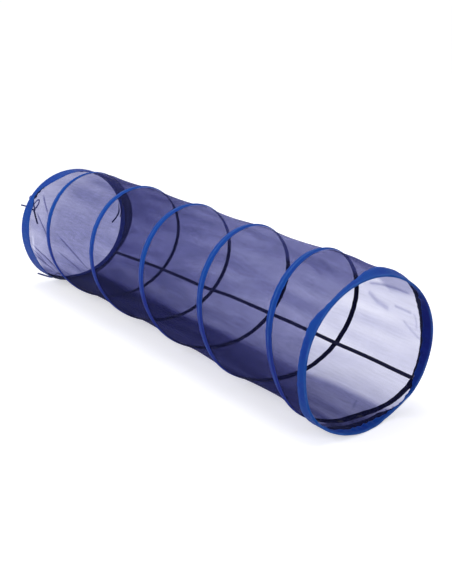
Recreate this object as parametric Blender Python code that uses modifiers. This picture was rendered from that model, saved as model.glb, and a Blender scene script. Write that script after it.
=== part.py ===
# Pop-up crawl tunnel for children: a tube of sheer mesh held open by one helical spring wire.
# Metres, +Z up. X runs along the tunnel, the far end at -X and the near end at +X. The origin is on the floor
# under the middle of the tunnel. Angles go round the tunnel from the top, over the near side (-Y), the floor
# and the far side (+Y). Turns of the wire are counted from the seam, 0 at the far hoop and 5 at the near hoop.

import math

import bpy
import numpy as np
from mathutils import Matrix, Vector

# Driving dimensions
LENGTH = 1.83                # over both end cuffs
COIL_HALF_WIDTH = 0.2466     # outside of the casing tape, half across
COIL_HALF_HEIGHT = 0.2418    # and half its height: the hoops sink a little under their own weight
FAR_HALF_WIDTH = 0.2398      # outside of the far cuff
FAR_HALF_HEIGHT = 0.2322
NEAR_HALF_WIDTH = 0.2488     # outside of the near cuff
NEAR_HALF_HEIGHT = 0.2324
END_FADE = 0.18              # next to a cuff, where the coils' size changes to the end hoop's size
GAP = 0.0003                 # between faces that touch

# Spring wire
TURNS = 5
STATIONS = 24                # points in one turn, shared by every piece, so that their facets lie parallel
SEAM_ANGLE = math.radians(232.5)   # low on the far side; it puts the middle of a facet on the floor
PITCH = 0.352                # of the middle turns
MIDDLE_X = 0.007             # where the middle of the coil stands
END_TURN = 0.5               # the share of a turn that eases the coil into each hoop
LEAVING_SLOPE = 0.26         # metres along X per turn, where the wire leaves a hoop
WIRE_RADIUS = 0.00125
HOOP_INSET = 0.0085          # from the outer edge of a cuff to the wire of its hoop
HOOP_LAP = 0.0036            # between the wire's free end and the running wire beside it
LAP_TURN = 0.018             # the free end runs on past the seam by this share of a turn

# Ferrules
FERRULE_WALL = 0.0005
FERRULE_LENGTH = 0.020
FERRULE_TURN = 0.0095        # its middle is this share of a turn before the seam

# Cloth
PLY = 0.0008                 # nylon of the cuffs, the casing tape and the seam binding
MESH_THICKNESS = 0.0008
CUFF_WIDTH = 0.045           # of its outer ply
CUFF_LINING = 0.030          # of its inner ply
CUFF_EASE = 0.001            # between the mesh and a cuff's inner ply
FOLD_RUN = 0.0036            # the rounded fold of a cuff, along X
MESH_INSET = 0.015           # from the outer edge of a cuff to the end of the mesh inside it
MESH_STEPS = 5               # across one bay
WAIST = 0.007                # how far the mesh draws in, halfway between two turns
TAPE_HALF_WIDTH = 0.014
TAPE_SHOULDER = 0.007        # where the arch of the tape bends
TAPE_CROWN = 0.002           # half of the flat crown over the wire
BINDING_HALF_WIDTH = 0.0065
RIBBON_HALF_WIDTH = 0.00325
RIBBON_THICKNESS = 0.0008
RIBBON_STEPS = 4             # between two points of a ribbon's route

# Depths below the outside of the tunnel, worked out from the above
WIRE_DEPTH = PLY + GAP + FERRULE_WALL + GAP + WIRE_RADIUS
MESH_DEPTH = WIRE_DEPTH + WIRE_RADIUS + GAP
INNER_PLY_DEPTH = MESH_DEPTH + MESH_THICKNESS + CUFF_EASE
CUFF_DEPTH = INNER_PLY_DEPTH + PLY
TAPE_EDGE_DEPTH = MESH_DEPTH - GAP - PLY
TAPE_SHOULDER_DEPTH = TAPE_EDGE_DEPTH / 2

END = LENGTH / 2
CUFF_EDGE = END - CUFF_WIDTH
LINING_EDGE = END - CUFF_LINING
HOOP_X = END - HOOP_INSET
MESH_END = END - MESH_INSET
FACET_COSINE = math.cos(math.pi / STATIONS)

# Ribbon ties, sewn to the inside of the far cuff. A point is (x, angle in degrees, depth) where the ribbon hangs
# in the end of the tunnel, and (x, y, z) on the floor.
NEAR_TIE_OUTER = [(-0.893, 60.0, 0.0106), (-0.905, 58.6, 0.0125), (-0.9215, 56.2, 0.0120),
                  (-0.9305, 53.6, 0.0070), (-0.9310, 51.3, 0.0075), (-0.9225, 51.4, 0.0140),
                  (-0.9080, 55.0, 0.0185), (-0.8900, 59.5, 0.0205), (-0.8770, 61.9, 0.0222),
                  (-0.8800, 63.6, 0.0252), (-0.9000, 63.6, 0.0262), (-0.9350, 63.2, 0.0260),
                  (-0.9750, 63.4, 0.0262), (-1.0100, 64.2, 0.0272)]
NEAR_TIE_INNER = [(-0.886, 60.2, 0.0106), (-0.8800, 57.0, 0.0118), (-0.8720, 52.6, 0.0120),
                  (-0.8600, 51.6, 0.0122), (-0.8510, 54.6, 0.0132), (-0.8530, 58.8, 0.0145),
                  (-0.8640, 61.4, 0.0152), (-0.8700, 63.2, 0.0170), (-0.8640, 66.5, 0.0225),
                  (-0.8560, 71.0, 0.0295), (-0.8420, 77.5, 0.0360)]
FAR_TIE_OUTER = [(-0.8930, 300.0, 0.0106), (-0.8915, 297.4, 0.0135), (-0.8880, 293.6, 0.0200),
                 (-0.8830, 288.8, 0.0265), (-0.8790, 283.6, 0.0330), (-0.8770, 279.4, 0.0375),
                 (-0.8765, 275.5, 0.0470), (-0.8765, 271.0, 0.0600), (-0.8770, 265.6, 0.0770)]
FAR_TIE_INNER = [(-0.8780, 300.4, 0.0106), (-0.8720, 297.6, 0.0122), (-0.8650, 293.6, 0.0160),
                 (-0.8630, 289.0, 0.0215), (-0.8640, 284.0, 0.0270), (-0.8650, 280.0, 0.0310),
                 (-0.8650, 276.5, 0.0355), (-0.8650, 272.6, 0.0410)]
FLOOR_TIE = [(-0.8930, -0.0830, 0.0262), (-0.9060, -0.0850, 0.0265), (-0.9180, -0.0880, 0.0255),
             (-0.9280, -0.0920, 0.0150), (-0.9370, -0.0975, 0.0035), (-0.9480, -0.1030, 0.0009),
             (-0.9700, -0.1100, 0.0009), (-1.0000, -0.1180, 0.0009), (-1.0330, -0.1240, 0.0009)]

# Colours of the photographed materials, linear RGB
ROYAL_BLUE = (0.013, 0.068, 0.35)
MESH_LAVENDER = (0.12, 0.12, 0.30)
NAVY = (0.006, 0.006, 0.035)
STEEL = (0.55, 0.55, 0.56)


def smooth(share):
    """0 to 1 with a level start and end."""
    share = np.clip(share, 0.0, 1.0)
    return share * share * (3.0 - 2.0 * share)


def outside(x):
    """Half width and half height of the tunnel's outside at x."""
    x = np.asarray(x, float)
    far = smooth(1.0 - (x + CUFF_EDGE) / END_FADE)
    near = smooth(1.0 - (CUFF_EDGE - x) / END_FADE)
    coil = 1.0 - far - near
    width = coil * COIL_HALF_WIDTH + far * FAR_HALF_WIDTH + near * NEAR_HALF_WIDTH
    height = coil * COIL_HALF_HEIGHT + far * FAR_HALF_HEIGHT + near * NEAR_HALF_HEIGHT
    return width, height


def place(x, angle, depth):
    """Points at x and an angle round the tunnel, that deep below its outside. The floor facet lies at z = 0."""
    width, height = outside(x)
    x, angle, depth = np.broadcast_arrays(x, angle, depth)
    y = -(width - depth) * np.sin(angle)
    z = height * FACET_COSINE + (height - depth) * np.cos(angle)
    return np.stack([x, y, z], axis=-1)


def turn_angle(turn):
    return SEAM_ANGLE + 2.0 * math.pi * np.asarray(turn, float)


def eased(share, rise, start_slope, end_slope):
    """A cubic from 0 to rise, with the given slopes over the whole share."""
    bend = 3.0 * rise - 2.0 * start_slope - end_slope
    twist = start_slope + end_slope - 2.0 * rise
    return start_slope * share + bend * share**2 + twist * share**3


def coil_x(turn):
    """X of the wire: even pitch in the middle, eased into each hoop over half a turn."""
    turn = np.asarray(turn, float)
    middle = MIDDLE_X + PITCH * (turn - TURNS / 2)
    first = MIDDLE_X - PITCH * (TURNS / 2 - END_TURN)
    last = MIDDLE_X + PITCH * (TURNS / 2 - END_TURN)
    slope, level = LEAVING_SLOPE * END_TURN, PITCH * END_TURN
    start = -HOOP_X + eased(np.clip(turn / END_TURN, 0, 1), first + HOOP_X, slope, level)
    end = HOOP_X - eased(np.clip((TURNS - turn) / END_TURN, 0, 1), HOOP_X - last, slope, level)
    x = np.where(turn < END_TURN, start, np.where(turn > TURNS - END_TURN, end, middle))
    hoop = HOOP_LAP * (np.minimum(turn, 0.0) + np.maximum(turn - TURNS, 0.0))
    return x + hoop


def material(name, colour, roughness, metallic=0.0):
    made = bpy.data.materials.new(name)
    made.use_nodes = True
    shader = made.node_tree.nodes["Principled BSDF"]
    shader.inputs["Base Color"].default_value = (*colour, 1.0)
    shader.inputs["Roughness"].default_value = roughness
    shader.inputs["Metallic"].default_value = metallic
    return made


def sheet_mesh(name, points, closed=False):
    """An open sheet through a grid of points, rows round the tunnel and columns along it, facing out."""
    rows, columns = points.shape[:2]
    last = rows if closed else rows - 1
    faces = []
    for i in range(last):
        below, above = i * columns, (i + 1) % rows * columns
        for j in range(columns - 1):
            faces.append((below + j, above + j, above + j + 1, below + j + 1))
    mesh = bpy.data.meshes.new(name)
    mesh.from_pydata([tuple(p) for p in points.reshape(-1, 3)], [], faces)
    mesh.update()
    return mesh


def add_object(name, data, surface, parent):
    """An object whose points are in world coordinates, carried by the empty of its body."""
    made = bpy.data.objects.new(name, data)
    made.data.materials.append(surface)
    tunnel.objects.link(made)
    made.parent = parent
    made.matrix_parent_inverse = Matrix.Translation(-parent.location)
    return made


def add_thickness(made, thickness, offset=-1.0):
    """Gives a sheet its thickness: inwards from the face at -1, half each way at 0."""
    solid = made.modifiers.new("thickness", "SOLIDIFY")
    solid.thickness = thickness
    solid.offset = offset
    solid.use_even_offset = True
    made.data.shade_smooth()
    made.data.set_sharp_from_angle(angle=math.radians(30))
    return made


def spring_wire():
    """One unbroken wire: the far hoop, five turns, and the near hoop, each hoop lapping its own run."""
    turns = np.arange(-STATIONS, (TURNS + 1) * STATIONS + 1) / STATIONS
    points = place(coil_x(turns), turn_angle(turns), WIRE_DEPTH)
    points = np.vstack([hoop_chord(-1.0, -LAP_TURN), points, hoop_chord(TURNS + 1.0, LAP_TURN)])
    curve = bpy.data.curves.new("spring_wire", "CURVE")
    curve.dimensions = "3D"
    curve.bevel_depth = WIRE_RADIUS
    curve.bevel_resolution = 1
    curve.use_fill_caps = True
    line = curve.splines.new("POLY")
    line.points.add(len(points) - 1)
    line.points.foreach_set("co", np.hstack([points, np.ones((len(points), 1))]).ravel())
    print("spring wire: least gap between its runs %.2f mm" % (1000 * least_gap(points)))
    return add_object("spring_wire", curve, steel, far_end)


def hoop_chord(turn, step):
    """A point on the straight run of the hoop beside a station, so that lapped runs stay parallel."""
    whole = math.copysign(1.0 / STATIONS, step)
    here = place(coil_x(turn), turn_angle(turn), WIRE_DEPTH)
    there = place(coil_x(turn + whole), turn_angle(turn + whole), WIRE_DEPTH)
    return here + (there - here) * step / whole


def least_gap(points):
    """The least distance between runs of the wire at least half a turn apart, less its diameter."""
    fine = np.concatenate([np.linspace(a, b, 12, endpoint=False) for a, b in zip(points[:-1], points[1:])])
    apart = STATIONS // 2 * 12
    least = min(np.linalg.norm(fine[i + apart:] - p, axis=1).min() for i, p in enumerate(fine[:-apart]))
    return least - 2 * WIRE_RADIUS


def ferrule(name, side, parent):
    """A crimped sleeve of racetrack section round the two runs of a hoop, before the seam on its side."""
    seam = 0.0 if side < 0 else TURNS
    middle = hoop_chord(seam, side * FERRULE_TURN)
    along = Vector(hoop_chord(seam, side * LAP_TURN) - middle).normalized()
    across = Vector((1.0, 0.0, 0.0))
    across = (across - along * across.dot(along)).normalized()
    upright = along.cross(across)
    centre = Vector(middle) + across * (side * HOOP_LAP / 2)
    radius = WIRE_RADIUS + GAP + FERRULE_WALL
    half_turn = np.radians(np.arange(-90, 91, 30))
    section = [(HOOP_LAP / 2 + radius * math.cos(a), radius * math.sin(a)) for a in half_turn]
    section += [(-x, -y) for x, y in section]
    ring = [across * x + upright * y for x, y in section]
    rows = [[centre + p + along * end for end in (-FERRULE_LENGTH / 2, FERRULE_LENGTH / 2)] for p in ring]
    mesh = sheet_mesh(name, np.array(rows), closed=True)
    return add_thickness(add_object(name, mesh, steel, parent), FERRULE_WALL)


def cuff(name, side, parent):
    """A hem folded round the end hoop: outer ply, rounded fold and inner ply, open towards the mesh."""
    fold = [(FOLD_RUN, 0.0), (0.25 * FOLD_RUN, 0.16), (0.0, 0.5), (0.25 * FOLD_RUN, 0.84), (FOLD_RUN, 1.0)]
    profile = [(CUFF_EDGE, 0.0)] + [(END - x, d * CUFF_DEPTH) for x, d in fold] + [(LINING_EDGE, CUFF_DEPTH)]
    if side < 0:
        profile.reverse()
    x, depth = side * np.array([p[0] for p in profile]), np.array([p[1] for p in profile])
    angle = turn_angle(np.arange(STATIONS) / STATIONS)[:, None]
    mesh = sheet_mesh(name, place(x[None, :], angle, depth[None, :]), closed=True)
    return add_thickness(add_object(name, mesh, royal_nylon, parent), PLY)


def bay_edges(bay):
    """Turns at the stations of a bay, and the X of its two borders. Bay 0 starts in the far cuff, bay 5 ends in
    the near one, and the borders between bays lie under the wire."""
    turn = np.arange(STATIONS + 1) / STATIONS
    turn[0], turn[-1] = GAP / 3, 1.0 - GAP / 3
    low = np.maximum(coil_x(bay - 1 + turn) + GAP, -MESH_END) if bay else np.full(turn.shape, -MESH_END)
    high = np.minimum(coil_x(bay + turn) - GAP, MESH_END) if bay < TURNS else np.full(turn.shape, MESH_END)
    wide = high - low > WIRE_RADIUS
    return turn[wide], low[wide], high[wide]


def mesh_columns(low, high):
    """X of one row's points. The mesh lies flat between the plies of a cuff, so one stands at the cuff's edge."""
    edge = CUFF_EDGE - GAP
    x = np.linspace(low, high, MESH_STEPS + 1)
    if low < -edge < high - WIRE_RADIUS:
        x[1:] = np.linspace(-edge, high, MESH_STEPS)
    if low + WIRE_RADIUS < edge < high:
        x[:-1] = np.linspace(low, edge, MESH_STEPS)
    return x


def waist(x, low, high):
    """How far the mesh draws in at x, between its borders or the cuffs' edges."""
    edge = CUFF_EDGE - GAP
    first, last = np.maximum(low, -edge), np.minimum(high, edge)
    width = np.maximum(last - first, GAP)
    share = np.clip((x - first) / width, 0.0, 1.0)
    return WAIST * 4.0 * share * (1.0 - share) * np.minimum(width / PITCH, 1.0)


def mesh_bay(name, bay, parent):
    """The mesh between two turns of the wire, drawn in halfway between them."""
    turn, low, high = bay_edges(bay)
    x = np.array([mesh_columns(*borders) for borders in zip(low, high)])
    drawn = waist(x, low[:, None], high[:, None])
    points = place(x, turn_angle(turn)[:, None], MESH_DEPTH + drawn)
    return add_thickness(add_object(name, sheet_mesh(name, points), lavender_mesh, parent), MESH_THICKNESS)


def casing_turn(name, number, parent):
    """One turn of the tape over the wire: flat crown, sloping sides, edges on the mesh."""
    turn = number - 1 + np.arange(STATIONS + 1) / STATIONS
    turn[0] += GAP / 3
    turn[-1] -= GAP / 3
    stretch = math.hypot(1.0, PITCH / (2 * math.pi * COIL_HALF_WIDTH))
    half = [(TAPE_HALF_WIDTH, TAPE_EDGE_DEPTH), (TAPE_SHOULDER, TAPE_SHOULDER_DEPTH), (TAPE_CROWN, 0.0)]
    profile = [(-w * stretch, d) for w, d in half] + [(w * stretch, d) for w, d in reversed(half)]
    across, depth = np.array([p[0] for p in profile]), np.array([p[1] for p in profile])
    points = place(coil_x(turn)[:, None] + across, turn_angle(turn)[:, None], depth[None, :])
    made = add_thickness(add_object(name, sheet_mesh(name, points), royal_nylon, parent), PLY)
    if number in (1, TURNS):
        cut = made.modifiers.new("trimmed at the cuff", "BOOLEAN")
        cut.object = far_trim if number == 1 else near_trim
        cut.operation = "DIFFERENCE"
        cut.solver = "EXACT"
    return made


def seam_binding(name, number, parent):
    """The tape over the seam inside the mesh, from one turn of the wire to the next."""
    edge = LINING_EDGE - GAP
    low, high = max(float(coil_x(number - 1)) + GAP, -edge), min(float(coil_x(number)) - GAP, edge)
    x = mesh_columns(low, high)
    depth = MESH_DEPTH + MESH_THICKNESS + GAP + waist(x, low, high)
    seam = place(x, turn_angle(0.0), depth)
    facet = 2 * math.pi * COIL_HALF_WIDTH / STATIONS
    rows = []
    for side in (-1.0, 0.0, 1.0):
        beside = place(x, turn_angle(side / STATIONS), depth)
        rows.append(seam + (beside - seam) * BINDING_HALF_WIDTH / facet)
    return add_thickness(add_object(name, sheet_mesh(name, np.array(rows)), navy_tape, parent), PLY)


def smooth_route(points):
    """Points along a smooth curve through the route's own points (Catmull-Rom)."""
    p = np.vstack([2 * points[0] - points[1], points, 2 * points[-1] - points[-2]])
    u = (np.arange(RIBBON_STEPS) / RIBBON_STEPS)[:, None]
    made = []
    for a, b, c, d in zip(p[:-3], p[1:-2], p[2:-1], p[3:]):
        made.append(0.5 * (2 * b + (c - a) * u + (2 * a - 5 * b + 4 * c - d) * u**2
                           + (3 * b - a - 3 * c + d) * u**3))
    return np.vstack([*made, points[-1:]])


def ribbon(name, route, start_facing, end_facing, parent):
    """A flat ribbon along a route. Its face turns from one direction to another, as far as the route lets it."""
    line = smooth_route(np.array(route))
    along = np.gradient(line, axis=0)
    share = smooth(np.linspace(0.0, 1.0, len(line)))[:, None]
    facing = (1.0 - share) * np.array(start_facing) + share * np.array(end_facing)
    across = np.cross(along, facing)
    across *= RIBBON_HALF_WIDTH / np.linalg.norm(across, axis=1, keepdims=True)
    points = np.stack([line - across, line + across], axis=1)
    print("%s: %.3f m long" % (name, np.linalg.norm(np.diff(line, axis=0), axis=1).sum()))
    return add_thickness(add_object(name, sheet_mesh(name, points), navy_tape, parent), RIBBON_THICKNESS, 0.0)


def on_cuff(route):
    return [place(x, math.radians(angle), depth) for x, angle, depth in route]


def outward(degrees):
    return (0.0, -math.sin(math.radians(degrees)), math.cos(math.radians(degrees)))


def empty(name, location):
    made = bpy.data.objects.new(name, None)
    made.location = location
    tunnel.objects.link(made)
    return made


def cuff_trim(name, side):
    """A block over the end of the tunnel, up to just past the cuff's edge, that trims the casing tape."""
    reach = 2 * CUFF_WIDTH
    bpy.ops.mesh.primitive_cube_add(size=1.0, location=(side * (CUFF_EDGE - GAP + reach / 2), 0.0, COIL_HALF_HEIGHT))
    made = bpy.context.object
    made.name = name
    made.scale = (reach, 3 * COIL_HALF_WIDTH, 3 * COIL_HALF_HEIGHT)
    bpy.ops.object.transform_apply(location=False, rotation=False, scale=True)
    made.hide_render = True
    made.display_type = "WIRE"
    for holder in list(made.users_collection):
        holder.objects.unlink(made)
    cutters.objects.link(made)
    return made


for old in list(bpy.data.objects):
    bpy.data.objects.remove(old)
tunnel = bpy.data.collections.new("crawl_tunnel")
cutters = bpy.data.collections.new("cutters")
bpy.context.scene.collection.children.link(tunnel)
bpy.context.scene.collection.children.link(cutters)

royal_nylon = material("royal blue nylon", ROYAL_BLUE, 0.55)
lavender_mesh = material("sheer lavender mesh", MESH_LAVENDER, 0.6)
navy_tape = material("navy woven tape", NAVY, 0.7)
steel = material("spring steel", STEEL, 0.35, 1.0)

# One empty for each body that moves: the far end stays, and the coils and the near end slide towards it.
far_end = empty("far_end", (-CUFF_EDGE, 0.0, 0.0))
near_end = empty("near_end", (CUFF_EDGE, 0.0, 0.0))
coils = [empty(f"coil_{n}", (float(coil_x(n - 0.5)), 0.0, 0.0)) for n in range(1, TURNS + 1)]
far_trim = cuff_trim("far_cuff_trim", -1)
near_trim = cuff_trim("near_cuff_trim", 1)

cuff("far_cuff", -1, far_end)
cuff("near_cuff", 1, near_end)
spring_wire()
ferrule("far_ferrule", -1, far_end)
ferrule("near_ferrule", 1, near_end)
mesh_bay("mesh_far_gore", 0, far_end)
mesh_bay("mesh_near_gore", TURNS, near_end)
for n, coil in enumerate(coils, start=1):
    casing_turn(f"casing_turn_{n}", n, coil)
    seam_binding(f"seam_binding_{n}", n, coil)
    if n < TURNS:
        mesh_bay(f"mesh_bay_{n}", n, coil)

ribbon("near_tie_ribbon_1", on_cuff(NEAR_TIE_OUTER), outward(60), outward(60), far_end)
ribbon("near_tie_ribbon_2", on_cuff(NEAR_TIE_INNER), outward(60), outward(75), far_end)
ribbon("far_tie_ribbon_1", on_cuff(FAR_TIE_OUTER), outward(300), (1.0, 0.6, 0.2), far_end)
ribbon("far_tie_ribbon_2", on_cuff(FAR_TIE_INNER), outward(300), (1.0, 0.6, 0.2), far_end)
ribbon("floor_tie_ribbon", FLOOR_TIE, (0.0, 0.0, 1.0), (0.0, 0.0, 1.0), far_end)
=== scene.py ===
import math

import bpy
import numpy as np
from mathutils import Matrix, Vector


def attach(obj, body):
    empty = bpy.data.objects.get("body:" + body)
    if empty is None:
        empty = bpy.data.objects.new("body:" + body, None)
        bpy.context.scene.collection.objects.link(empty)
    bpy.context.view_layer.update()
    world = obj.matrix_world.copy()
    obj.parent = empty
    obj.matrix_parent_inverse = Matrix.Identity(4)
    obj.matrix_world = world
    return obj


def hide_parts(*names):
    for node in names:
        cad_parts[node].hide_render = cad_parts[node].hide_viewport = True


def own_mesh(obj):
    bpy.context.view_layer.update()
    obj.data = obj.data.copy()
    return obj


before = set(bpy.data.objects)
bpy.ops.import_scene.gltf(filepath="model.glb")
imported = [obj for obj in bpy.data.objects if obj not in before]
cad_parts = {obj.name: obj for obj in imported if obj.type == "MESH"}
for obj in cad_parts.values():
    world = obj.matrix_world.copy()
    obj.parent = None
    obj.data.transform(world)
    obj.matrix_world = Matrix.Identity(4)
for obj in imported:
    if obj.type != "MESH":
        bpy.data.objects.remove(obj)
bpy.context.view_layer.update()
print("frame loaded:", len(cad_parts), "solids")

# The photograph's camera: where it stands and which way it looks, in degrees
camera = {"azimuth": 54.435, "elevation": 18.356, "place": (2.9427, -1.9660, 1.3459), "lens": 64.327}

# Sizes that every piece shares, in metres, as the solids have them
tube = {
    "end": 0.915, "coilHalfWidth": 0.2466, "coilHalfHeight": 0.2418,
    "farHalfWidth": 0.2398, "farHalfHeight": 0.2322, "nearHalfWidth": 0.2488, "nearHalfHeight": 0.2324,
    "endFade": 0.18, "cuffWidth": 0.045, "seamAngle": math.radians(232.5),
    "turns": 5, "pitch": 0.352, "middleX": 0.007, "endTurn": 0.5, "leavingSlope": 0.26, "hoopX": 0.9065,
    # where it bags out: angle and spread in degrees, then X and how far, in metres
    "bulges": [(130, 26, ((-0.15, 0.0), (0.45, 0.012))), (138, 24, ((0.70, 0.0), (0.88, 0.010))),
               (222, 22, ((0.62, 0.0), (0.88, 0.008))), (275, 25, ((0.62, 0.0), (0.88, 0.003))),
               (340, 34, ((0.60, 0.0), (0.74, 0.005), (0.87, 0.013), (0.915, 0.001))),
               (140, 25, ((-0.88, 0.010), (-0.72, 0.0)))],
    # how far it is twisted, X and degrees
    "twist": ((-0.9, -3.4), (-0.72, -3.4), (-0.54, -1.2), (-0.22, -0.6), (-0.05, 1.8), (0.3, 2.2), (0.55, 1.6),
              (0.9, 1.8)),
    # how much nearer the middle the last turn runs before it is in the near cuff: turns past its end, and metres
    "early": ((-0.20, 0.0), (-0.12, 0.019), (0.0, 0.020), (0.12, 0.0)),
    "lapShift": 0.0036,      # how far a hoop's lapped end lies beside its start, for a whole turn
    "floorGap": 0.0002,
    "flats": 24,             # sides of the solids' ellipse
    "packed": 0.03,          # share of its length that cloth or wire keeps when it closes up
}
cuffEdge = tube["end"] - tube["cuffWidth"]
coilMiddles = [-0.697, -0.345, 0.007, 0.359, 0.711]   # where the bodies coil_1 to coil_5 stand


def level(share):
    # 0 to 1 with a level start and end: 3s^2 - 2s^3
    share = np.clip(share, 0.0, 1.0)
    return share * share * (3.0 - 2.0 * share)


def joined(at, pairs):
    # The pairs' values, joined by curves with level ends and held beyond the last
    place, value = np.array(pairs, float).T
    i = np.clip(np.searchsorted(place, at, side="right") - 1, 0, len(place) - 2)
    return value[i] + (value[i + 1] - value[i]) * level((at - place[i]) / (place[i + 1] - place[i]))


def table(at, pairs):
    # The pairs' values, joined by straight lines and held beyond the last
    return np.interp(at, *np.array(pairs).T)


def halfSizes(x):
    # Half width and half height at x: the coil's own, blended level into each end's over the last stretch
    x = np.asarray(x, float)
    far = level(1.0 - (x + cuffEdge) / tube["endFade"])
    near = level(1.0 - (cuffEdge - x) / tube["endFade"])
    width = (1 - far - near) * tube["coilHalfWidth"] + far * tube["farHalfWidth"] + near * tube["nearHalfWidth"]
    height = (1 - far - near) * tube["coilHalfHeight"] + far * tube["farHalfHeight"] + near * tube["nearHalfHeight"]
    return width, height


def onTube(x, angle, depth):
    # An ellipse standing on the floor: y = -(width - depth) sin(angle), z = height + (height - depth) cos(angle).
    # Each bulge adds a Gaussian round the tube, as high as its table says at X; the floor stops it.
    width, height = halfSizes(x)
    x, angle, depth = np.broadcast_arrays(x, angle, depth)
    out = np.zeros(x.shape)
    for at, spread, pairs in tube["bulges"]:
        turned = (np.degrees(angle) - at + 180) % 360 - 180
        out = out + joined(x, pairs) * np.exp(-(turned / spread) ** 2)
    y = -(width + out - depth) * np.sin(angle)
    z = height + (height + out - depth) * np.cos(angle)
    return np.stack([x, y, np.maximum(z, tube["floorGap"] + np.maximum(depth, 0))], axis=-1)


def twisted(x, angle):
    return angle + np.radians(table(x, tube["twist"]))


def onSolid(x, angle, depth):
    # The same, but on the solids' own ellipse, which is made of flats and so lies a little lower
    width, height = halfSizes(x)
    z = height * math.cos(math.pi / tube["flats"]) + (height - depth) * np.cos(angle)
    return np.stack(np.broadcast_arrays(x, -(width - depth) * np.sin(angle), z), axis=-1)


def outwards(degrees):
    # The direction out of the tunnel at an angle round it
    return (0.0, -math.sin(math.radians(degrees)), math.cos(math.radians(degrees)))


def angleAt(turn):
    return tube["seamAngle"] + 2 * math.pi * np.asarray(turn, float)


def lengthRound(turn):
    # Length round the tube up to a turn, on its middle ellipse
    return 2 * math.pi * (tube["coilHalfWidth"] + tube["coilHalfHeight"]) / 2 * np.asarray(turn)


def coilX(turn):
    # X of the wire: even pitch in the middle, and a cubic over the last half turn into each hoop
    turn = np.asarray(turn, float)
    half, pitch, share = tube["turns"] / 2, tube["pitch"], tube["endTurn"]
    slope, leave = pitch * share, tube["leavingSlope"] * share

    def ease(s, rise):
        return leave * s + (3 * rise - 2 * leave - slope) * s**2 + (leave + slope - 2 * rise) * s**3

    even = tube["middleX"] + pitch * (turn - half)
    first = -tube["hoopX"] + ease(np.clip(turn / share, 0, 1), tube["middleX"] - pitch * (half - share) + tube["hoopX"])
    last = tube["hoopX"] - ease(np.clip((2 * half - turn) / share, 0, 1),
                                tube["hoopX"] - tube["middleX"] - pitch * (half - share))
    x = np.where(turn < share, first, np.where(turn > 2 * half - share, last, even))
    x = x - joined(turn - 2 * half, tube["early"])
    return x + tube["lapShift"] * (np.minimum(turn, 0.0) + np.maximum(turn - 2 * half, 0.0))


# How meshes and materials are made

waveScale = 0.314     # a wave texture's scale times its pitch


def linearColour(code):
    # sRGB hex to linear: ((c + 0.055) / 1.055) ^ 2.4, or c / 12.92 where dark
    parts = [int(code[i:i + 2], 16) / 255 for i in (1, 3, 5)]
    return (*[c / 12.92 if c <= 0.04045 else ((c + 0.055) / 1.055) ** 2.4 for c in parts], 1.0)


def addNode(tree, kind, inputs=None, **settings):
    # Adds a node; an input takes a plain value, a hex colour, or a node or its output, which is linked
    made = tree.nodes.new("ShaderNode" + kind)
    for name, value in settings.items():
        setattr(made, name, value)
    for name, value in (inputs or {}).items():
        if isinstance(value, str):
            value = linearColour(value)
        if isinstance(value, bpy.types.Node):
            value = value.outputs[0]
        if isinstance(value, bpy.types.NodeSocket):
            tree.links.new(value, made.inputs[name])
        else:
            made.inputs[name].default_value = value
    return made


def emptyTree(owner):
    owner.use_nodes = True
    owner.node_tree.nodes.clear()
    return owner.node_tree


def newMaterial(name):
    made = bpy.data.materials.new(name)
    return made, emptyTree(made)


def gridMesh(name, points, cloth=None, closed=False, values=None, capped=False):
    # A sheet through a grid of points, rows round the tunnel or the wire and columns along it, so that it faces out.
    # cloth is the same grid's place on the flat cloth, in metres, for the weave; values are kept at each point.
    rows, columns = points.shape[:2]
    index = np.arange(rows * columns).reshape(rows, columns)
    below = index if closed else index[:-1]
    above = np.roll(index, -1, axis=0) if closed else index[1:]
    faces = np.stack([below[:, :-1], above[:, :-1], above[:, 1:], below[:, 1:]], axis=-1).reshape(-1, 4)
    ends = [index[::-1, 0].tolist(), index[:, -1].tolist()] if capped else []
    mesh = bpy.data.meshes.new(name)
    mesh.from_pydata(points.reshape(-1, 3), [], faces.tolist() + ends)
    if cloth is not None:
        low, high = cloth[:-1], cloth[1:]
        corners = np.stack([low[:, :-1], high[:, :-1], high[:, 1:], low[:, 1:]], axis=2).ravel()
        spare = np.zeros(2 * len(mesh.loops) - len(corners))
        mesh.uv_layers.new(name="cloth").data.foreach_set("uv", np.concatenate([corners, spare]))
    for key, value in (values or {}).items():
        value = np.broadcast_to(value, (rows, columns)).ravel().astype(np.float32)
        mesh.attributes.new(key, "FLOAT", "POINT").data.foreach_set("value", value)
    mesh.shade_smooth()
    return mesh


def addPiece(name, mesh, materials, body, replaced):
    made = bpy.data.objects.new(name, mesh)
    bpy.context.scene.collection.objects.link(made)
    for item in materials:
        mesh.materials.append(item)
    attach(made, body)
    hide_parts(*replaced)
    return made


def thicken(made, thickness, **settings):
    # Gives a sheet its thickness, inwards if no setting says otherwise
    solid = made.modifiers.new("thickness", "SOLIDIFY")
    solid.thickness, solid.offset, solid.use_even_offset = thickness, -1.0, False
    for name, value in settings.items():
        setattr(solid, name, value)


def fold(made):
    # Cloth crumples flat along X as the tunnel collapses: the modifiers are applied first, so that squash works on
    # the whole of it
    graph = bpy.context.evaluated_depsgraph_get()
    mesh = bpy.data.meshes.new_from_object(made.evaluated_get(graph), preserve_all_data_layers=True, depsgraph=graph)
    made.modifiers.clear()
    made.data = mesh
    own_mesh(made)


# Camera, floor and light

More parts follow.
